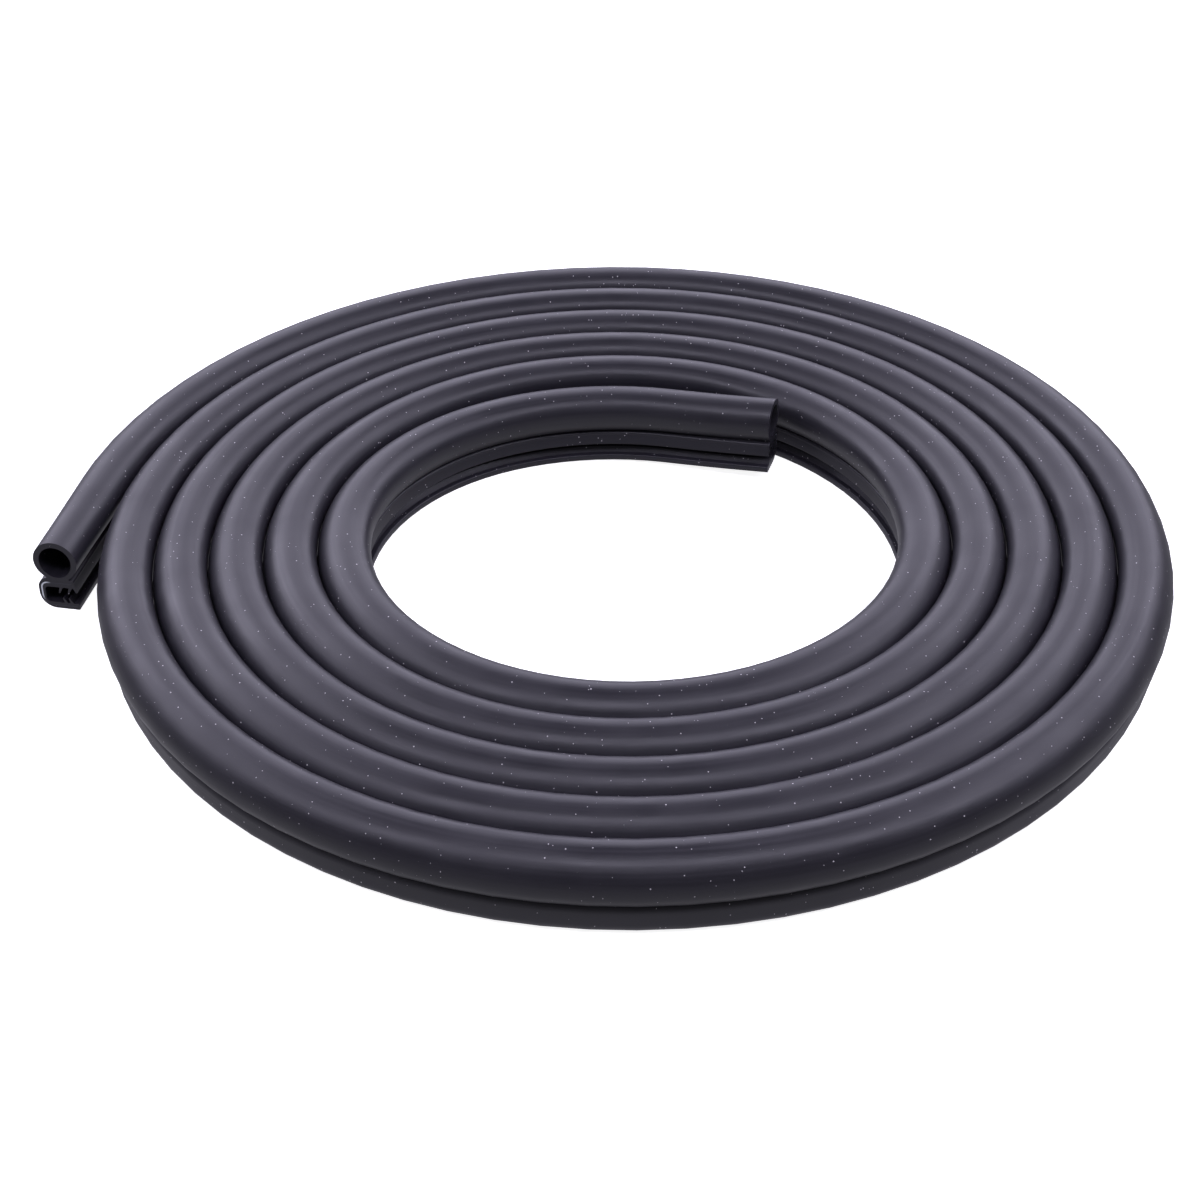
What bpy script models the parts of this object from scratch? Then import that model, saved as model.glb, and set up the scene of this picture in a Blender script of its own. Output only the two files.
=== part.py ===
# Truck door weatherstrip: one length of rubber edge seal, wound into a flat coil.
# The rubber section is a hollow sealing bulb on top of a gripping channel, which lies on
# its side with its mouth towards the middle of the coil. A thin steel strip, bent to a U,
# runs inside the channel's walls for the whole length and shows at both cut ends.
# Metres, +Z up. The coil lies on z = 0 and its axis is the Z axis.
#
# In the section, u points away from the middle of the coil and z points up.

import math

import bmesh
import bpy
from mathutils import Matrix, Vector

OBJECT_NAME = "truck_door_weatherstrip"

# Gripping channel
CHANNEL_HEIGHT = 0.0134
UPPER_WALL = 0.0040
LOWER_WALL = 0.0026
CLOSED_WALL = 0.0024
CLOSED_SIDE = 0.0072
LOWER_LEG_REACH = 0.0080
UPPER_LEG_REACH = 0.0068
UPPER_LEG_TIP_DROP = 0.0014
OUTER_CORNER = 0.0046
INNER_CHAMFER = 0.0015

# Grip fins, two on each leg, which lean towards the closed side
FINS_PER_LEG = 2
FIRST_FIN = 0.0014
LOWER_FIN_OFFSET = 0.0016
FIN_SPACING = 0.0035
FIN_ROOT = 0.0011
FIN_LEAN = 0.0006
UPPER_FIN = 0.0026
LOWER_FIN = 0.0022

# Sealing bulb. Wound in the coil it is an oval that hangs over the channel's closed side,
# and towards the free cut ends it springs back to a round.
BULB_TILT = math.radians(38)
WOUND_LENGTH = 0.0206
WOUND_WIDTH = 0.0176
WOUND_CENTRE = (-0.0002, 0.0199)
WOUND_NECK = math.radians(44)
ROUND_DIAMETER = 0.0168
ROUND_CENTRE = (-0.00075, 0.02075)
ROUND_NECK = math.radians(78)
SPRING_RUN = 0.080
BULB_WALL = 0.0022
BULB_STEP = math.radians(30)
FLANK_ANGLE = math.radians(212)
FLANK_SETBACK = 0.0003
BORE_SIDES = 8

# Steel strip in the channel's walls
STEEL_THICKNESS = 0.0005
STEEL_CLEARANCE = 0.0003
STEEL_END_COVER = 0.0011
STEEL_CHAMFER = 0.0024
STEEL_ABOVE_SLOT = 0.0018

# Coil
FIRST_RADIUS = 0.0960
TURN_GAP = 0.0005
STEPS_PER_TURN = 20
COIL_START = math.radians(180)
COIL_END = math.radians(1969.3)
OUTER_TAIL = 0.0526
INNER_TAIL = 0.044
INNER_BEND_END = math.radians(72)
INNER_LIFT = 0.005
INNER_LIFT_RUN = 0.110
INNER_TAIL_STEPS = 2

RUBBER_COLOUR = (0.030, 0.029, 0.036, 1)
RUBBER_ROUGHNESS = 0.55
STEEL_COLOUR = (0.62, 0.63, 0.65, 1)
STEEL_ROUGHNESS = 0.35


def between(wound, sprung, share):
    return wound + (sprung - wound) * share


class Oval:
    """The bulb's outside, or its bore when it is shrunk, for a share of spring-back."""

    def __init__(self, share, shrink=0.0):
        self.u = between(WOUND_CENTRE[0], ROUND_CENTRE[0], share)
        self.z = between(WOUND_CENTRE[1], ROUND_CENTRE[1], share)
        self.long = between(WOUND_LENGTH, ROUND_DIAMETER, share) / 2 - shrink
        self.short = between(WOUND_WIDTH, ROUND_DIAMETER, share) / 2 - shrink

    def reach(self, angle):
        """How far the oval reaches from its centre in this direction."""
        turned = angle + BULB_TILT
        return math.hypot(self.long * math.cos(turned), self.short * math.sin(turned))

    def point(self, angle):
        """The point where the oval's outside faces this direction."""
        turned = angle + BULB_TILT
        along = self.long**2 * math.cos(turned) / self.reach(angle)
        across = self.short**2 * math.sin(turned) / self.reach(angle)
        u = along * math.cos(BULB_TILT) + across * math.sin(BULB_TILT)
        z = across * math.cos(BULB_TILT) - along * math.sin(BULB_TILT)
        return (self.u + u, self.z + z)


def bulb_outline(share):
    """The bulb's outside, from above the neck over the top to the inner flank."""
    oval = Oval(share)
    steps = round(math.pi / BULB_STEP)
    angles = [BULB_STEP * i for i in range(-1, steps + 1)] + [FLANK_ANGLE]
    return [oval.point(angle) for angle in angles]


def fins(side):
    """Both fins of one leg, from the mouth inwards: side is 1 for the upper leg, -1 below."""
    root_z = CHANNEL_HEIGHT - UPPER_WALL if side > 0 else LOWER_WALL
    tip_z = root_z - UPPER_FIN if side > 0 else root_z + LOWER_FIN
    mouth_fin = -UPPER_LEG_REACH + FIRST_FIN
    if side < 0:
        mouth_fin += LOWER_FIN_OFFSET
    points = []
    for i in range(FINS_PER_LEG):
        root = mouth_fin + i * FIN_SPACING
        points.append((root - FIN_ROOT / 2, root_z))
        points.append((root + FIN_ROOT / 2 + FIN_LEAN, tip_z))
        points.append((root + FIN_ROOT / 2, root_z))
    return points


def slot_outline():
    """The inside of the channel, from the upper leg's tip round to the lower leg's tip."""
    back = CLOSED_SIDE - CLOSED_WALL
    top = CHANNEL_HEIGHT - UPPER_WALL
    points = [(-UPPER_LEG_REACH, top)]
    points += fins(1)
    points.append((back - INNER_CHAMFER, top))
    points.append((back, top - INNER_CHAMFER))
    points.append((back, LOWER_WALL + INNER_CHAMFER))
    points.append((back - INNER_CHAMFER, LOWER_WALL))
    points += reversed(fins(-1))
    points.append((-LOWER_LEG_REACH, LOWER_WALL))
    return points


def closed_side_outline(share):
    """The flat bottom and the rounded closed side, up to the neck below the bulb."""
    neck = between(WOUND_NECK, ROUND_NECK, share)
    low_angles = [-math.pi / 2, -math.pi / 3, -math.pi / 6, 0.0]
    corners = [(OUTER_CORNER, angle) for angle in low_angles]
    corners += [(CHANNEL_HEIGHT - OUTER_CORNER, angle) for angle in (0.0, neck / 2, neck)]
    points = [(-LOWER_LEG_REACH, 0.0)]
    for centre_z, angle in corners:
        u = CLOSED_SIDE - OUTER_CORNER + OUTER_CORNER * math.cos(angle)
        points.append((u, centre_z + OUTER_CORNER * math.sin(angle)))
    return points


def rubber_outline(share):
    flank_foot = (-UPPER_LEG_REACH + FLANK_SETBACK, CHANNEL_HEIGHT)
    leg_tip = (-UPPER_LEG_REACH, CHANNEL_HEIGHT - UPPER_LEG_TIP_DROP)
    outside = bulb_outline(share) + [flank_foot, leg_tip]
    return outside + slot_outline() + closed_side_outline(share)


def bore_outline(share):
    oval = Oval(share, shrink=BULB_WALL)
    turn = math.tau / BORE_SIDES
    return [oval.point(turn * (i + 0.5)) for i in range(BORE_SIDES)]


def steel_middle_line():
    """The middle of the steel strip, from its end in the upper leg to its end in the lower."""
    bottom = LOWER_WALL / 2
    back = CLOSED_SIDE - CLOSED_WALL / 2
    top = CHANNEL_HEIGHT - UPPER_WALL + STEEL_ABOVE_SLOT
    return [
        Vector((-UPPER_LEG_REACH + STEEL_END_COVER, top)),
        Vector((back - STEEL_CHAMFER, top)),
        Vector((back, top - STEEL_CHAMFER)),
        Vector((back, bottom + STEEL_CHAMFER)),
        Vector((back - STEEL_CHAMFER, bottom)),
        Vector((-LOWER_LEG_REACH + STEEL_END_COVER, bottom)),
    ]


def band_outline(half_width, end_margin):
    """A band of even width along the steel's middle line, with mitred bends."""
    line = steel_middle_line()
    line[0].x -= end_margin
    line[-1].x -= end_margin
    near, far = [], []
    for i, point in enumerate(line):
        before = (point - line[i - 1]).normalized() if i > 0 else None
        after = (line[i + 1] - point).normalized() if i < len(line) - 1 else None
        before = before or after
        after = after or before
        along = (before + after).normalized()
        across = Vector((-along.y, along.x)) * half_width / along.dot(after)
        near.append(tuple(point + across))
        far.append(tuple(point - across))
    return near + far[::-1]


PITCH = 2 * Oval(0.0).reach(0.0) + TURN_GAP
STEP_ANGLE = math.tau / STEPS_PER_TURN


def quarter_centre(quarter):
    """The coil's quarter turns are centred on the corners of a small square."""
    half_side = PITCH / 8
    x = -half_side if quarter % 4 in (0, 1) else half_side
    y = half_side if quarter % 4 in (0, 3) else -half_side
    return Vector((x, y, 0))


def quarter_radius(quarter):
    """Each quarter turn is wider than the last by a quarter of the pitch."""
    return FIRST_RADIUS + quarter * PITCH / 4


def placed(centre, radius, angle):
    """Where a section stands: its u axis points away from the centre of its arc."""
    away = Vector((math.cos(angle), math.sin(angle), 0))
    return Matrix.Translation(centre + radius * away) @ Matrix.Rotation(angle, 4, "Z")


def coil_place(angle):
    quarter = int(angle / (math.pi / 2) + 1e-9)
    return placed(quarter_centre(quarter), quarter_radius(quarter), angle)


def stepped(start, end):
    """Angles from start to end, one step apart, with what is left as a last short step."""
    whole = int((end - start) / STEP_ANGLE + 1e-9)
    angles = [start + i * STEP_ANGLE for i in range(whole + 1)]
    if end - angles[-1] > 1e-6:
        angles.append(end)
    return angles


def inner_bend_radius():
    """The radius that leaves the inner cut end one pitch inside the next turn."""
    turn = 4
    next_centre = quarter_centre(turn)
    reach = quarter_radius(turn) - PITCH
    along = Vector((math.sin(INNER_BEND_END), -math.cos(INNER_BEND_END), 0))
    fixed = coil_place(COIL_START).translation - next_centre + INNER_TAIL * along
    growing = Vector((1 + math.cos(INNER_BEND_END), math.sin(INNER_BEND_END), 0))
    a = growing.length_squared
    b = fixed.dot(growing)
    c = fixed.length_squared - reach**2
    return (math.sqrt(b * b - a * c) - b) / a


def inner_places():
    """The inner end: a straight tail, then a bend that is tighter than the coil."""
    radius = inner_bend_radius()
    centre = coil_place(COIL_START).translation + Vector((radius, 0, 0))
    span = COIL_START - INNER_BEND_END
    bend = [placed(centre, radius, COIL_START - turned) for turned in stepped(0, span)]
    along = bend[-1].to_3x3() @ Vector((0, -1, 0))
    tail = []
    for i in range(1, INNER_TAIL_STEPS + 1):
        tail.append(Matrix.Translation(along * INNER_TAIL * i / INNER_TAIL_STEPS) @ bend[-1])
    return (bend[1:] + tail)[::-1]


def distances(places):
    """How far along the strip each place is from the first one."""
    result = [0.0]
    for before, after in zip(places, places[1:]):
        result.append(result[-1] + (after.translation - before.translation).length)
    return result


def lifted(places):
    """The inner end is free and springs up a little from the floor."""
    result = []
    for place, distance in zip(places, distances(places)):
        rest = max(0.0, 1 - distance / INNER_LIFT_RUN)
        result.append(Matrix.Translation((0, 0, INNER_LIFT * rest**2)) @ place)
    return result


def strip_places():
    """Every place where the section stands, from the inner cut end to the outer one."""
    coil = [coil_place(angle) for angle in stepped(COIL_START, COIL_END)]
    along = coil[-1].to_3x3() @ Vector((0, 1, 0))
    outer_tail = [Matrix.Translation(along * OUTER_TAIL * share) @ coil[-1] for share in (0.5, 1)]
    return lifted(inner_places() + coil + outer_tail)


def spring_shares(places):
    """0 where the bulb is wound tight, rising to 1 at both cut ends."""
    travelled = distances(places)
    result = []
    for distance in travelled:
        from_end = min(distance, travelled[-1] - distance)
        rest = max(0.0, 1 - from_end / SPRING_RUN)
        result.append(rest * rest * (3 - 2 * rest))
    return result


def extrude_along(name, sections, places):
    """Draws the first section at the first place, then pulls it from place to place."""
    bm = bmesh.new()
    number = bm.verts.layers.int.new("number")
    count = 0
    for outline in sections[0]:
        corners = []
        for u, z in outline:
            corners.append(bm.verts.new(places[0] @ Vector((u, 0, z))))
            corners[-1][number] = count
            count += 1
        for i, corner in enumerate(corners):
            bm.edges.new((corners[i - 1], corner))
    first_edges = bm.edges[:]
    edges = first_edges
    for place, section in zip(places[1:], sections[1:]):
        points = [point for outline in section for point in outline]
        made = bmesh.ops.extrude_edge_only(bm, edges=edges)["geom"]
        edges = [item for item in made if isinstance(item, bmesh.types.BMEdge)]
        verts = {item for item in made if isinstance(item, bmesh.types.BMVert)}
        edges = [edge for edge in edges if verts.issuperset(edge.verts)]
        for vert in verts:
            u, z = points[vert[number]]
            vert.co = place @ Vector((u, 0, z))
    for rim in (first_edges, edges):
        bmesh.ops.triangle_fill(bm, edges=rim, use_beauty=True)
    bmesh.ops.recalc_face_normals(bm, faces=bm.faces)
    bm.verts.layers.int.remove(number)
    mesh = bpy.data.meshes.new(name)
    bm.to_mesh(mesh)
    bm.free()
    mesh.shade_smooth()
    mesh.set_sharp_from_angle(angle=math.radians(40))
    return mesh


def material(name, colour, roughness, metallic):
    made = bpy.data.materials.new(name)
    made.use_nodes = True
    shader = made.node_tree.nodes["Principled BSDF"]
    shader.inputs["Base Color"].default_value = colour
    shader.inputs["Roughness"].default_value = roughness
    shader.inputs["Metallic"].default_value = metallic
    made.diffuse_color = colour
    return made


def centre_over_origin(meshes):
    """Moves the meshes so that the middle of the first one's outline is on the Z axis."""
    corners = [vert.co for vert in meshes[0].vertices]
    middle_x = (min(co.x for co in corners) + max(co.x for co in corners)) / 2
    middle_y = (min(co.y for co in corners) + max(co.y for co in corners)) / 2
    for mesh in meshes:
        mesh.transform(Matrix.Translation((-middle_x, -middle_y, 0)))


def add_part(name, mesh, finish, collection):
    mesh.materials.append(finish)
    collection.objects.link(bpy.data.objects.new(name, mesh))


def clear_scene():
    for old in list(bpy.data.objects):
        bpy.data.objects.remove(old, do_unlink=True)


def build():
    clear_scene()
    collection = bpy.data.collections.new(OBJECT_NAME)
    bpy.context.scene.collection.children.link(collection)
    places = strip_places()

    steel_room = band_outline(STEEL_THICKNESS / 2 + STEEL_CLEARANCE, STEEL_CLEARANCE)
    sections = []
    for share in spring_shares(places):
        sections.append([rubber_outline(share), bore_outline(share), steel_room])
    rubber = extrude_along("rubber_strip", sections, places)
    band = band_outline(STEEL_THICKNESS / 2, 0.0)
    steel = extrude_along("steel_carrier", [[band]] * len(places), places)
    centre_over_origin([rubber, steel])

    rubber_finish = material("black_rubber", RUBBER_COLOUR, RUBBER_ROUGHNESS, 0.0)
    add_part("rubber_strip", rubber, rubber_finish, collection)
    steel_finish = material("bare_steel", STEEL_COLOUR, STEEL_ROUGHNESS, 1.0)
    add_part("steel_carrier", steel, steel_finish, collection)


build()
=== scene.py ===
# Truck door weatherstrip: the looks of the coiled rubber seal, seen from the front and above.
# Metres, +Z up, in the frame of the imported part. In the section, u points away from the
# middle of the coil and z points up.

import math

import bmesh
import bpy
from mathutils import Matrix, Vector


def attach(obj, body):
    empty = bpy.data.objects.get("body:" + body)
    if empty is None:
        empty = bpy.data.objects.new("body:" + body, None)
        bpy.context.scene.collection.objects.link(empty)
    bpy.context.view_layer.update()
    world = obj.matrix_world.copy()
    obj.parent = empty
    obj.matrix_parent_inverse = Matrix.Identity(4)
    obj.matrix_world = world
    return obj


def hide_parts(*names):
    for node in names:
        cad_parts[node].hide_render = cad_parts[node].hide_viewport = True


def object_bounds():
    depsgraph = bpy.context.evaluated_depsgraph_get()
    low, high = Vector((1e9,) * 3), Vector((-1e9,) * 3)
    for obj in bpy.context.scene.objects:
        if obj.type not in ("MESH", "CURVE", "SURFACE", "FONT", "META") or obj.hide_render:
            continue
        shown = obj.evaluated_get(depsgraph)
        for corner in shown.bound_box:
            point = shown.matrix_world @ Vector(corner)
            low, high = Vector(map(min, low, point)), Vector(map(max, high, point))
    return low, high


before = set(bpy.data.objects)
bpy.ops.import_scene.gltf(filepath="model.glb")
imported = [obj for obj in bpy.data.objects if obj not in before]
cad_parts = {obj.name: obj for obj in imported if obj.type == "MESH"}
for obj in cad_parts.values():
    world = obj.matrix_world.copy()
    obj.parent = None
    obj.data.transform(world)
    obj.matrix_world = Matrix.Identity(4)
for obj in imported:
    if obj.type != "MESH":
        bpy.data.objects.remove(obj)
cadBox = [list(corner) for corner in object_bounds()]
mm = 0.001


# Camera

view = {
    "target": (-1.22 * mm, -19.47 * mm, 0.0),
    "distance": 863.8 * mm,
    "elevation": 35.23,
    "roll": -0.445,
    "lens": 69.18,
}


def makeCamera():
    elevation = math.radians(view["elevation"])
    forward = Vector((0, math.cos(elevation), -math.sin(elevation)))
    data = bpy.data.cameras.new("camera")
    data.lens = view["lens"]
    data.sensor_width = 36
    data.sensor_fit = "HORIZONTAL"
    data.clip_start = 0.01
    camera = bpy.data.objects.new("camera", data)
    bpy.context.scene.collection.objects.link(camera)
    place = Vector(view["target"]) - forward * view["distance"]
    turn = Matrix.Rotation(math.pi / 2 - elevation, 4, "X")
    turn = turn @ Matrix.Rotation(math.radians(view["roll"]), 4, "Z")
    camera.matrix_world = Matrix.Translation(place) @ turn
    bpy.context.scene.camera = camera


# Studio

studio = {
    "skyColour": (0.91, 0.89, 1.01, 1),
    "skyStrength": 0.13,
    "skyFrom": 0.08,  # height of the direction on a unit ball
    "tableStrength": 0.57,
    "tableBelow": -0.5,
    "floorGlow": 0.88,
    "floorColour": (0.93, 0.93, 0.94, 1),
    "floorRoughness": 0.9,
    "floorShine": 0.1,
    "floorSize": 160.0,
    "floorDrop": 0.1 * mm,
    "lightColour": (0.93, 0.895, 1.11),
    # name: (place, point that it faces, width, height, watts)
    "softboxes": {
        "back": ((-0.20, 1.70, 0.80), (0, 0, 0.05), 4.3, 1.5, 39),
        "left": ((-1.40, 0.55, 1.10), (0, 0, 0), 1.8, 1.2, 14),
        "right": ((1.35, 0.45, 1.20), (0, 0, 0), 1.8, 1.2, 17),
        "top": ((0, -0.575, 1.16), (0, -0.05, 0), 3.2, 0.25, 15.5),
    },
}


# A dim room above the horizon and the glow of a pale table below it.
def makeWorld():
    world = bpy.data.worlds.new("studio")
    world.use_nodes = True
    tree = world.node_tree
    sky = tree.nodes["Background"]
    sky.inputs["Color"].default_value = studio["skyColour"]
    direction = tree.nodes.new("ShaderNodeTexCoord")
    parts = tree.nodes.new("ShaderNodeSeparateXYZ")
    blend = tree.nodes.new("ShaderNodeMapRange")
    blend.inputs["From Min"].default_value = studio["tableBelow"]
    blend.inputs["From Max"].default_value = studio["skyFrom"]
    blend.inputs["To Min"].default_value = studio["tableStrength"]
    blend.inputs["To Max"].default_value = studio["skyStrength"]
    tree.links.new(direction.outputs["Generated"], parts.inputs[0])
    tree.links.new(parts.outputs["Z"], blend.inputs["Value"])
    tree.links.new(blend.outputs["Result"], sky.inputs["Strength"])
    bpy.context.scene.world = world


def makeSoftbox(name, place, aim, width, height, watts):
    data = bpy.data.lights.new(name, "AREA")
    data.shape = "RECTANGLE"
    data.size = width
    data.size_y = height
    data.energy = watts
    data.color = studio["lightColour"]
    light = bpy.data.objects.new(name, data)
    bpy.context.scene.collection.objects.link(light)
    facing = (Vector(aim) - Vector(place)).to_track_quat("-Z", "Y")
    light.matrix_world = Matrix.Translation(place) @ facing.to_matrix().to_4x4()


def makeFloor():
    bm = bmesh.new()
    bmesh.ops.create_grid(bm, x_segments=1, y_segments=1, size=studio["floorSize"] / 2)
    mesh = bpy.data.meshes.new("floor")
    bm.to_mesh(mesh)
    bm.free()
    floor = bpy.data.objects.new("floor", mesh)
    floor.location.z = -studio["floorDrop"]
    # The strip is black, so light that the white floor throws up on it is kept off.
    floor.visible_diffuse = False
    floor.visible_glossy = False
    bpy.context.scene.collection.objects.link(floor)
    paint = bpy.data.materials.new("white_table")
    paint.use_nodes = True
    shader = paint.node_tree.nodes["Principled BSDF"]
    shader.inputs["Base Color"].default_value = studio["floorColour"]
    shader.inputs["Roughness"].default_value = studio["floorRoughness"]
    shader.inputs["Specular IOR Level"].default_value = studio["floorShine"]
    shader.inputs["Emission Color"].default_value = (1, 1, 1, 1)
    shader.inputs["Emission Strength"].default_value = studio["floorGlow"]
    mesh.materials.append(paint)


# Section of the strip. It has two shapes: "wound" in the coil, and "round" at the cut ends.

channel = {
    "height": 13.4 * mm,
    "upperWall": 4.0 * mm,
    "lowerWall": 2.6 * mm,
    "closedWall": 2.4 * mm,
    "closedSide": 7.2 * mm,
    "lowerReach": 8.0 * mm,
    "upperReach": 6.8 * mm,
    "legTop": 12.3 * mm,
    "highCorner": 4.6 * mm,
    "woundLowCorner": 4.6 * mm,
    "roundLowCorner": 6.2 * mm,
    "cornerSteps": 8,
    "slotCorner": 1.5 * mm,
    "tipRound": 0.55 * mm,
}

# Where the bulb grows out of the channel: a crease over the mouth and a notch over the bend.
neck = {
    "crease": (-4.9 * mm, 13.1 * mm),
    "woundNotch": (5.0 * mm, 12.35 * mm),
    "roundNotch": (3.75 * mm, 13.78 * mm),
    "woundAngle": math.radians(36),
    "roundAngle": math.radians(78),
    "round": 0.25 * mm,
}

# A thin lip hangs from the upper leg and leans out over the mouth.
lip = {
    "root": (-6.8 * mm, 11.4 * mm),
    "tip": (-7.75 * mm, 7.5 * mm),
    "thickness": 0.65 * mm,
    "innerRoot": -6.3 * mm,
    "round": 0.25 * mm,
}

fin = {
    "upperRoots": (-5.1 * mm, -1.6 * mm),
    "lowerRoots": (-5.1 * mm, -2.8 * mm),
    "upperHeight": 2.6 * mm,
    "lowerHeight": 2.2 * mm,
    "root": 1.2 * mm,
    "tip": 0.55 * mm,
    "lean": 1.0 * mm,
    "tipRound": 0.22 * mm,
}

# The bulb is an oval that leans outwards in the coil, and a circle at the cut ends.
bulb = {
    "tilt": math.radians(38),
    "woundLong": 21.095 * mm,
    "woundShort": 18.095 * mm,
    "woundCentre": (-0.2 * mm, 19.9 * mm),
    "woundArc": (math.radians(-45), math.radians(225)),
    "roundLong": 16.8 * mm,
    "roundShort": 16.8 * mm,
    "roundCentre": (-0.75 * mm, 20.75 * mm),
    "roundArc": (math.radians(-50), math.radians(226)),
    "springRun": 80 * mm,
    "wall": 2.2 * mm,
    "steps": 36,
    "boreSteps": 30,
    "boreDrop": 1.13,
}

steel = {
    "thickness": 0.55 * mm,
    "room": 0.03 * mm,
    "endCover": 0.9 * mm,
    "highCorner": 2.4 * mm,
    "woundLowCorner": 2.4 * mm,
    "roundLowCorner": 4.0 * mm,
    "cornerSteps": 5,
    "aboveSlot": 1.8 * mm,
}

roundSteps = 4  # in every small rounding of the section
sharpAngle = math.radians(38)


# The point of the bulb, or of its bore, where its outside faces this angle.
def ovalPoint(shape, shrink, angle):
    long = bulb[shape + "Long"] / 2 - shrink
    short = bulb[shape + "Short"] / 2 - shrink
    turned = angle + bulb["tilt"]
    reach = math.hypot(long * math.cos(turned), short * math.sin(turned))
    along = long**2 * math.cos(turned) / reach
    across = short**2 * math.sin(turned) / reach
    u = along * math.cos(bulb["tilt"]) + across * math.sin(bulb["tilt"])
    z = across * math.cos(bulb["tilt"]) - along * math.sin(bulb["tilt"])
    centre = bulb[shape + "Centre"]
    return (centre[0] + u, centre[1] + z)


# All corners are (u, z, rounding).
def bulbCorners(shape):
    first, last = bulb[shape + "Arc"]
    steps = bulb["steps"]
    angles = [first + (last - first) * i / steps for i in range(steps + 1)]
    return [(*ovalPoint(shape, 0, angle), 0) for angle in angles]


# The bore is deeper at its foot where the bulb is round.
def boreCorners(shape):
    corners = []
    centreZ = bulb["roundCentre"][1]
    for i in range(bulb["boreSteps"]):
        u, z = ovalPoint(shape, bulb["wall"], math.tau * i / bulb["boreSteps"])
        if shape == "round" and z < centreZ:
            z = centreZ + (z - centreZ) * bulb["boreDrop"]
        corners.append((u, z, 0))
    return corners


# Both fins of one leg, from the mouth inwards.
def finCorners(leg):
    if leg == "upper":
        rootZ = channel["height"] - channel["upperWall"]
        tipZ = rootZ - fin["upperHeight"]
    else:
        rootZ = channel["lowerWall"]
        tipZ = rootZ + fin["lowerHeight"]
    corners = []
    for root in fin[leg + "Roots"]:
        tip = root + fin["lean"]
        corners.append((root - fin["root"] / 2, rootZ, 0))
        corners.append((tip - fin["tip"] / 2, tipZ, fin["tipRound"]))
        corners.append((tip + fin["tip"] / 2, tipZ, fin["tipRound"]))
        corners.append((root + fin["root"] / 2, rootZ, 0))
    return corners


def arcCorners(centre, radius, first, last, steps):
    corners = []
    for i in range(steps + 1):
        angle = first + (last - first) * i / steps
        u = centre[0] + radius * math.cos(angle)
        z = centre[1] + radius * math.sin(angle)
        corners.append((u, z, 0))
    return corners


# The rubber's outside, with the same count of corners for both shapes.
def rubberCorners(shape):
    slotTop = channel["height"] - channel["upperWall"]
    slotFloor = channel["lowerWall"]
    slotBack = channel["closedSide"] - channel["closedWall"]
    tip = channel["tipRound"]
    corners = bulbCorners(shape)
    corners.append((*neck["crease"], neck["round"]))
    corners.append((-channel["upperReach"], channel["legTop"], tip))
    corners.append((*lip["root"], lip["round"]))
    corners.append((*lip["tip"], lip["round"]))
    corners.append((lip["tip"][0] + lip["thickness"], lip["tip"][1], lip["round"]))
    corners.append((lip["innerRoot"], slotTop, 0))
    corners += finCorners("upper")
    corners.append((slotBack, slotTop, channel["slotCorner"]))
    corners.append((slotBack, slotFloor, channel["slotCorner"]))
    corners += finCorners("lower")[::-1]
    corners.append((-channel["lowerReach"], slotFloor, tip))
    corners.append((-channel["lowerReach"], 0, tip))
    low, high = channel[shape + "LowCorner"], channel["highCorner"]
    lowCentre = (channel["closedSide"] - low, low)
    highCentre = (channel["closedSide"] - high, channel["height"] - high)
    steps = channel["cornerSteps"]
    corners += arcCorners(lowCentre, low, -math.pi / 2, 0, steps)
    corners += arcCorners(highCentre, high, 0, neck[shape + "Angle"], steps)
    corners.append((*neck[shape + "Notch"], neck["round"]))
    return corners


# A band along the steel's bent middle line, from the upper leg to the lower.
def bandCorners(shape, halfWidth, endMargin):
    back = channel["closedSide"] - channel["closedWall"] / 2
    top = channel["height"] - channel["upperWall"] + steel["aboveSlot"]
    bottom = channel["lowerWall"] / 2
    low, high = steel[shape + "LowCorner"], steel["highCorner"]
    steps = steel["cornerSteps"]
    line = [(-channel["upperReach"] + steel["endCover"] - endMargin, top, 0)]
    line += arcCorners((back - high, top - high), high, math.pi / 2, 0, steps)
    line += arcCorners((back - low, bottom + low), low, 0, -math.pi / 2, steps)
    line.append((-channel["lowerReach"] + steel["endCover"] - endMargin, bottom, 0))
    points = [Vector(corner[:2]) for corner in line]
    near, far = [], []
    for i, point in enumerate(points):
        along = (points[min(i + 1, len(points) - 1)] - points[max(i - 1, 0)]).normalized()
        across = Vector((-along.y, along.x)) * halfWidth
        near.append((*(point + across), 0))
        far.append((*(point - across), 0))
    return near + far[::-1]


# Draws one closed outline, rounds its corners and returns its points in order.
def drawLoop(corners):
    bm = bmesh.new()
    verts = [bm.verts.new((u, 0, z)) for u, z, rounding in corners]
    for i, vert in enumerate(verts):
        bm.edges.new((verts[i - 1], vert))
    for rounding in sorted({corner[2] for corner in corners} - {0}):
        chosen = [vert for vert, corner in zip(verts, corners) if corner[2] == rounding]
        bmesh.ops.bevel(
            bm,
            geom=chosen,
            offset=rounding,
            offset_type="OFFSET",
            segments=roundSteps,
            profile=0.5,
            affect="VERTICES",
            material=-1,
        )
    first = verts[0]
    vert, edge = first, first.link_edges[0]
    points = []
    while True:
        points.append((vert.co.x, vert.co.z))
        vert = edge.other_vert(vert)
        if vert is first:
            break
        edge = next(other for other in vert.link_edges if other is not edge)
    bm.free()
    return points


# Path of the strip

coil = {
    "firstRadius": 96 * mm,
    "turnGap": 0.006 * mm,
    "start": math.radians(180),
    "end": math.radians(1969.3),
    "outerTail": 52.6 * mm,
    "innerTail": 44 * mm,
    "innerBendEnd": math.radians(72),
    "innerLift": 5 * mm,
    "innerLiftRun": 110 * mm,
    "stepsPerTurn": 80,
    "tailStep": 6 * mm,
}

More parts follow.
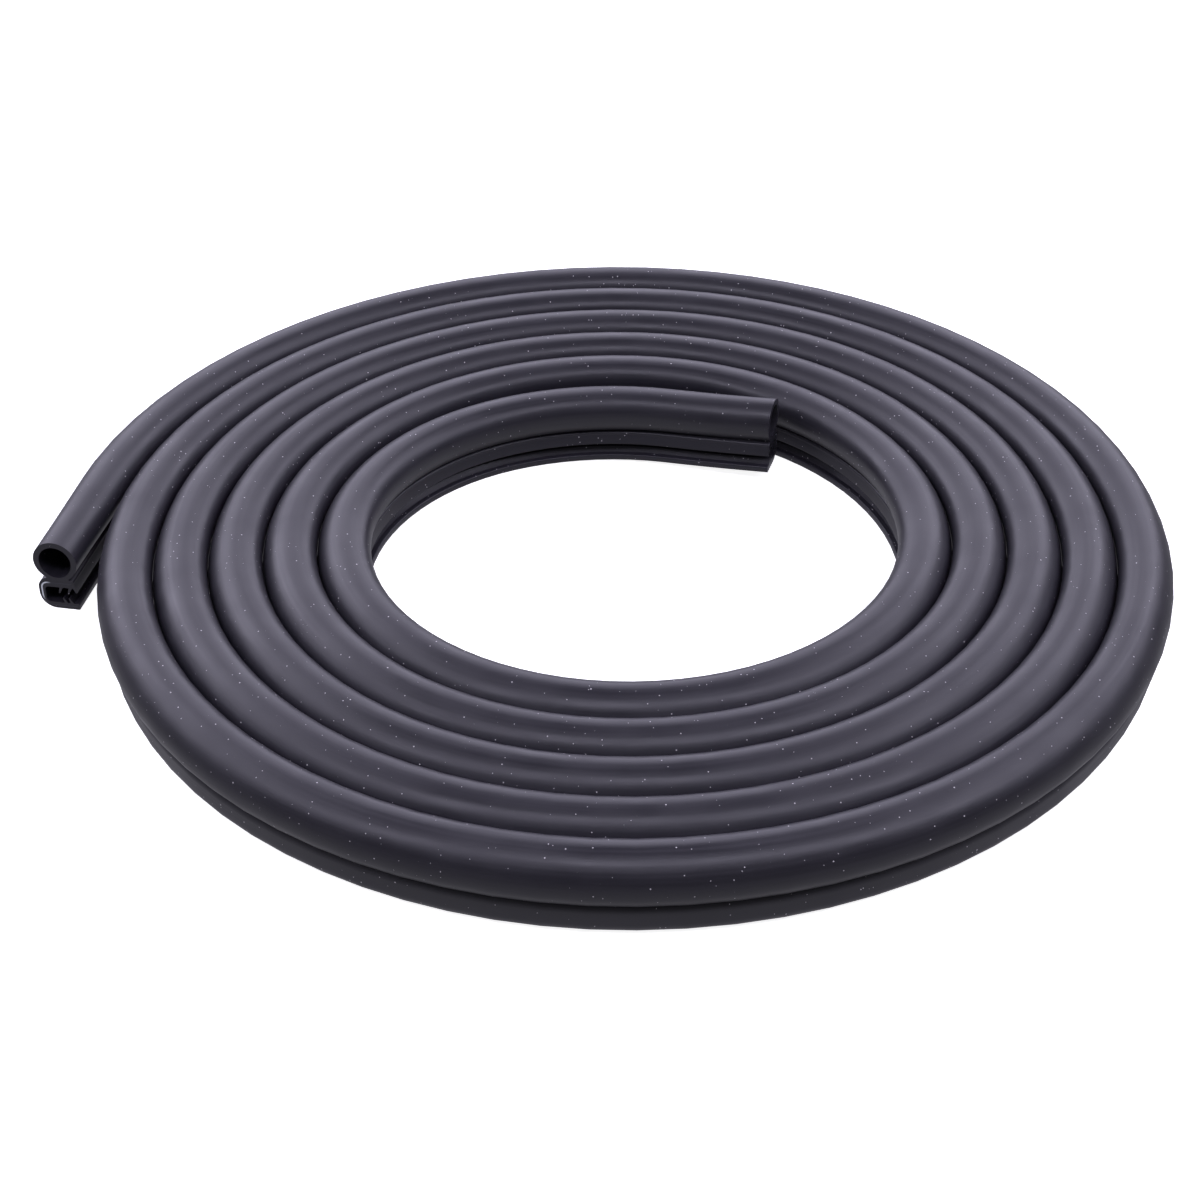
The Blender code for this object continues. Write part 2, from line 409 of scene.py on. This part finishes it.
# From turn to turn, so that the wound bulbs just clear each other.
pitch = 2 * (ovalPoint("wound", 0, 0)[0] - bulb["woundCentre"][0]) + coil["turnGap"]
quarterTurn = math.pi / 2


# The section's place on a circle, with u along X and the strip's direction along Y.
def placed(centre, radius, angle):
    away = Vector((math.cos(angle), math.sin(angle), 0))
    return Matrix.Translation(centre + radius * away) @ Matrix.Rotation(angle, 4, "Z")


def quarterCentre(quarter):
    halfSide = pitch / 8
    x = -halfSide if quarter % 4 in (0, 1) else halfSide
    y = halfSide if quarter % 4 in (0, 3) else -halfSide
    return Vector((x, y, 0))


# The coil is made of quarter turns, each a quarter of the pitch wider than the last.
def coilPlace(angle):
    quarter = int(angle / quarterTurn + 1e-9)  # so that a whole quarter isn't rounded down
    radius = coil["firstRadius"] + quarter * pitch / 4
    return placed(quarterCentre(quarter), radius, angle)


# The radius that leaves the inner cut end one pitch inside the next turn.
def innerBendRadius():
    end = coil["innerBendEnd"]
    reach = coil["firstRadius"]
    along = Vector((math.sin(end), -math.cos(end), 0))
    fixed = coilPlace(coil["start"]).translation - quarterCentre(4) + coil["innerTail"] * along
    growing = Vector((1 + math.cos(end), math.sin(end), 0))
    a, b = growing.length_squared, fixed.dot(growing)
    return (math.sqrt(b * b - a * (fixed.length_squared - reach**2)) - b) / a


def even(first, last, step):
    count = max(1, math.ceil(abs(last - first) / step))
    return [first + (last - first) * i / count for i in range(count + 1)]


# Every turn has its steps at the same angles, so that neighbours keep an even gap.
def turnAngles(step):
    count = int((coil["end"] - coil["start"]) / step)
    return [coil["start"] + step * i for i in range(count + 1)] + [coil["end"]]


# Every place where the section stands, from the inner cut end to the outer one.
def stripPlaces():
    step = math.tau / coil["stepsPerTurn"]
    radius = innerBendRadius()
    centre = coilPlace(coil["start"]).translation + Vector((radius, 0, 0))
    angles = even(coil["innerBendEnd"], coil["start"], step)
    bend = [placed(centre, radius, angle) for angle in angles]
    turns = [coilPlace(angle) for angle in turnAngles(step)]
    back = bend[0].to_3x3() @ Vector((0, -1, 0))
    runs = even(coil["innerTail"], 0, coil["tailStep"])
    inner = [Matrix.Translation(back * run) @ bend[0] for run in runs]
    ahead = turns[-1].to_3x3() @ Vector((0, 1, 0))
    runs = even(0, coil["outerTail"], coil["tailStep"])
    outer = [Matrix.Translation(ahead * run) @ turns[-1] for run in runs]
    return inner[:-1] + bend[:-1] + turns + outer[1:]


def travelled(places):
    result = [0.0]
    for before, after in zip(places, places[1:]):
        result.append(result[-1] + (after.translation - before.translation).length)
    return result


# The inner end is free and springs up a little from the floor.
def lifted(places):
    result = []
    for place, distance in zip(places, travelled(places)):
        rest = max(0.0, 1 - distance / coil["innerLiftRun"])
        result.append(Matrix.Translation((0, 0, coil["innerLift"] * rest**2)) @ place)
    return result


# 0 where the bulb is wound, rising to 1 at both cut ends.
def springShares(distances):
    shares = []
    for distance in distances:
        rest = max(0.0, 1 - min(distance, distances[-1] - distance) / bulb["springRun"])
        shares.append(rest * rest * (3 - 2 * rest))
    return shares


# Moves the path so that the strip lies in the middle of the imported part's box.
def overOrigin(places):
    shares = springShares(travelled(places))
    spots = []
    for place, share in zip(places, shares):
        for angle in (0, math.pi):
            wound, sprung = ovalPoint("wound", 0, angle), ovalPoint("round", 0, angle)
            u = wound[0] + (sprung[0] - wound[0]) * share
            spots.append(place @ Vector((u, 0, 0)))
    low, high = cadBox
    shiftX = (low[0] + high[0] - min(s.x for s in spots) - max(s.x for s in spots)) / 2
    shiftY = (low[1] + high[1] - min(s.y for s in spots) - max(s.y for s in spots)) / 2
    return [Matrix.Translation((shiftX, shiftY, 0)) @ place for place in places]


# Draws the loops at the first place and pulls them from place to place to the last. The
# attribute "profile" keeps each point's u and z in the section and its way along the strip.
def sweep(name, woundLoops, roundLoops, places):
    distances = travelled(places)
    shares = springShares(distances)
    wound = [point for loop in woundLoops for point in loop]
    sprung = [point for loop in roundLoops for point in loop]
    bm = bmesh.new()
    number = bm.verts.layers.int.new("number")
    profile = bm.verts.layers.float_vector.new("profile")

    def stand(vert, place, share, distance):
        (u0, z0), (u1, z1) = wound[vert[number]], sprung[vert[number]]
        u, z = u0 + (u1 - u0) * share, z0 + (z1 - z0) * share
        vert.co = place @ Vector((u, 0, z))
        vert[profile] = Vector((u, z, distance))

    count = 0
    for loop in woundLoops:
        corners = []
        for i in range(len(loop)):
            vert = bm.verts.new()
            vert[number] = count
            stand(vert, places[0], shares[0], 0.0)
            corners.append(vert)
            count += 1
        for i, corner in enumerate(corners):
            bm.edges.new((corners[i - 1], corner))
    firstEdges = bm.edges[:]
    edges = firstEdges
    for place, share, distance in zip(places[1:], shares[1:], distances[1:]):
        made = bmesh.ops.extrude_edge_only(bm, edges=edges)["geom"]
        verts = {item for item in made if isinstance(item, bmesh.types.BMVert)}
        edges = [item for item in made if isinstance(item, bmesh.types.BMEdge)]
        edges = [edge for edge in edges if verts.issuperset(edge.verts)]
        for vert in verts:
            stand(vert, place, share, distance)
    for rim in (firstEdges, edges):
        bmesh.ops.triangle_fill(bm, edges=rim, use_beauty=True)
    bmesh.ops.recalc_face_normals(bm, faces=bm.faces)
    bm.verts.layers.int.remove(number)
    mesh = bpy.data.meshes.new(name)
    bm.to_mesh(mesh)
    bm.free()
    mesh.shade_smooth()
    mesh.set_sharp_from_angle(angle=sharpAngle)
    piece = bpy.data.objects.new(name, mesh)
    bpy.context.scene.collection.objects.link(piece)
    print(name, len(mesh.vertices), "points")
    return piece


# Materials


def plug(tree, slot, operand):
    if isinstance(operand, Value):
        tree.links.new(operand.socket, slot)
    else:
        slot.default_value = operand


# A socket in a material, so that shader maths reads like plain maths.
class Value:
    def __init__(self, tree, socket):
        self.tree = tree
        self.socket = socket

    def maths(self, operation, *operands):
        node = self.tree.nodes.new("ShaderNodeMath")
        node.operation = operation
        for slot, operand in zip(node.inputs, operands):
            plug(self.tree, slot, operand)
        return Value(self.tree, node.outputs[0])

    def __add__(self, other):
        return self.maths("ADD", self, other)

    def __sub__(self, other):
        return self.maths("SUBTRACT", self, other)

    def __mul__(self, other):
        return self.maths("MULTIPLY", self, other)

    def __truediv__(self, other):
        return self.maths("DIVIDE", self, other)

    def __rsub__(self, other):
        return self.maths("SUBTRACT", other, self)

    def __rtruediv__(self, other):
        return self.maths("DIVIDE", other, self)

    __radd__ = __add__
    __rmul__ = __mul__

    def clamped(self):
        return self.maths("MINIMUM", self.maths("MAXIMUM", self, 0.0), 1.0)

    def into(self, node, name):
        self.tree.links.new(self.socket, node.inputs[name])


class Paint:
    def __init__(self, name):
        self.material = bpy.data.materials.new(name)
        self.material.use_nodes = True
        self.tree = self.material.node_tree
        self.shader = self.tree.nodes["Principled BSDF"]

    def node(self, kind, settings=None, inputs=None):
        made = self.tree.nodes.new(kind)
        for key, setting in (settings or {}).items():
            setattr(made, key, setting)
        for key, operand in (inputs or {}).items():
            plug(self.tree, made.inputs[key], operand)
        return made

    def value(self, node, output=0):
        return Value(self.tree, node.outputs[output])

    # What sweep() keeps for every point: u, z and the way along the strip.
    def profile(self):
        attribute = self.node("ShaderNodeAttribute", {"attribute_name": "profile"})
        return self.value(attribute, "Vector")

    def mixed(self, share, first, second):
        inputs = {0: share, 6: first, 7: second}  # factor and both colours
        return self.value(self.node("ShaderNodeMix", {"data_type": "RGBA"}, inputs), 2)

    def noise(self, vector, scale, detail, roughness=0.5):
        inputs = {"Vector": vector, "Scale": scale, "Detail": detail, "Roughness": roughness}
        return self.value(self.node("ShaderNodeTexNoise", None, inputs))

    # Noise with its own scale across the section, up it and along the strip.
    def stretched(self, vector, scales, detail):
        inputs = {0: vector, 1: scales}
        scaled = self.node("ShaderNodeVectorMath", {"operation": "MULTIPLY"}, inputs)
        return self.noise(self.value(scaled), 1.0, detail)


rubber = {
    "dark": (0.0125, 0.0118, 0.0165, 1),
    "light": (0.0225, 0.0210, 0.0280, 1),
    "contrast": 2.2,
    "roughness": 0.41,
    # Features in a metre: across the section, up it and along the strip
    "streaks": (900, 900, 9),
    "bands": (150, 150, 5),
    "waves": (60, 60, 30),
    "clouds": 45.0,
    "grain": 2600,
    # Shares in the tone, and how much each changes the roughness
    "streakTone": 0.45,
    "bandTone": 0.3,
    "cloudTone": 0.25,
    "cloudMatt": 0.26,
    "streakMatt": 0.20,
    "dustMatt": 0.3,
    "dust": (0.55, 0.53, 0.55, 1),
    "dustCells": 400,
    "dustSize": 0.080,
    "dustSmallest": 0.35,
    "dustEdge": 60,
    "relief": 0.05 * mm,
    "reliefStrength": 0.35,
    "grainHeight": 0.75,
    "streakHeight": 0.25,
    "dustHeight": 1.5,
    "waveHeight": 14,
}


def makeRubber():
    paint = Paint("black_rubber_look")
    profile = paint.profile()
    spot = paint.value(paint.node("ShaderNodeTexCoord"), "Object")
    streaks = paint.stretched(profile, rubber["streaks"], 3.0)
    bands = paint.stretched(profile, rubber["bands"], 2.0)
    clouds = paint.noise(spot, rubber["clouds"], 3.0)
    waves = paint.stretched(profile, rubber["waves"], 2.0)
    grain = paint.noise(spot, rubber["grain"], 2.0, 0.6)

    # One speck of dust in each cell, of a size drawn by lot
    inputs = {"Vector": spot, "Scale": rubber["dustCells"]}
    cells = paint.node("ShaderNodeTexVoronoi", None, inputs)
    lots = paint.node("ShaderNodeSeparateColor", None, {"Color": paint.value(cells, "Color")})
    size = rubber["dustSize"] * (rubber["dustSmallest"] + paint.value(lots, 1))
    speck = ((size - paint.value(cells, "Distance")) * rubber["dustEdge"]).clamped()

    tone = streaks * rubber["streakTone"] + bands * rubber["bandTone"]
    tone = tone + clouds * rubber["cloudTone"]
    tone = ((tone - 0.5) * rubber["contrast"] + 0.5).clamped()
    body = paint.mixed(tone, rubber["dark"], rubber["light"])
    paint.mixed(speck, body, rubber["dust"]).into(paint.shader, "Base Color")

    rough = rubber["roughness"] + (clouds - 0.5) * rubber["cloudMatt"]
    rough = rough + (streaks - 0.5) * rubber["streakMatt"] + speck * rubber["dustMatt"]
    rough.into(paint.shader, "Roughness")

    relief = grain * rubber["grainHeight"] + streaks * rubber["streakHeight"]
    relief = relief + speck * rubber["dustHeight"] + waves * rubber["waveHeight"]
    inputs = {"Strength": rubber["reliefStrength"], "Distance": rubber["relief"], "Height": relief}
    paint.value(paint.node("ShaderNodeBump", None, inputs)).into(paint.shader, "Normal")
    return paint.material


# Painted shade: the steel is given a dark colour everywhere apart from the bend at the closed
# side, which keeps a bright colour where it catches the highlight.
bareSteel = {
    "litSteel": (0.80, 0.84, 0.90, 1),
    "paintedShade": (0.075, 0.075, 0.085, 1),
    "roughness": 0.36,
    "litFrom": (2.2 * mm, 3.2 * mm),
    "fade": 2.0 * mm,
}


def makeSteel():
    paint = Paint("bare_steel_look")
    parts = paint.node("ShaderNodeSeparateXYZ", None, {"Vector": paint.profile()})
    # Painted shade and highlight: bright steel only past these u and z limits, at the bend on the
    # closed side, and dark painted shade everywhere else.
    u, z = bareSteel["litFrom"]
    litSteel = ((paint.value(parts, 0) - u) / bareSteel["fade"]).clamped()
    litSteel = litSteel * ((paint.value(parts, 1) - z) / bareSteel["fade"]).clamped()
    tone = paint.mixed(litSteel, bareSteel["paintedShade"], bareSteel["litSteel"])
    tone.into(paint.shader, "Base Color")
    paint.shader.inputs["Metallic"].default_value = 1.0
    paint.shader.inputs["Roughness"].default_value = bareSteel["roughness"]
    return paint.material


# The coil


# The rubber's outside, the bulb's bore and the room for the steel.
def rubberLoops(shape):
    halfRoom = steel["thickness"] / 2 + steel["room"]
    room = bandCorners(shape, halfRoom, steel["room"])
    return [drawLoop(rubberCorners(shape)), drawLoop(boreCorners(shape)), drawLoop(room)]


def steelLoops(shape):
    return [drawLoop(bandCorners(shape, steel["thickness"] / 2, 0))]


def makeSeal(places):
    seal = sweep("rubberSeal", rubberLoops("wound"), rubberLoops("round"), places)
    seal.data.materials.append(makeRubber())
    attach(seal, "root")
    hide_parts("rubber_strip")


def makeBand(places):
    piece = sweep("steelBand", steelLoops("wound"), steelLoops("round"), places)
    piece.data.materials.append(makeSteel())
    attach(piece, "root")
    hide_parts("steel_carrier")


makeCamera()
makeWorld()
for name, settings in studio["softboxes"].items():
    makeSoftbox(name, *settings)
makeFloor()
print("studio ready")
strip = overOrigin(lifted(stripPlaces()))
print("path ready,", len(strip), "places")
makeSeal(strip)
makeBand(strip)
print("coil ready")

bpy.context.scene.view_settings.view_transform = "Standard"
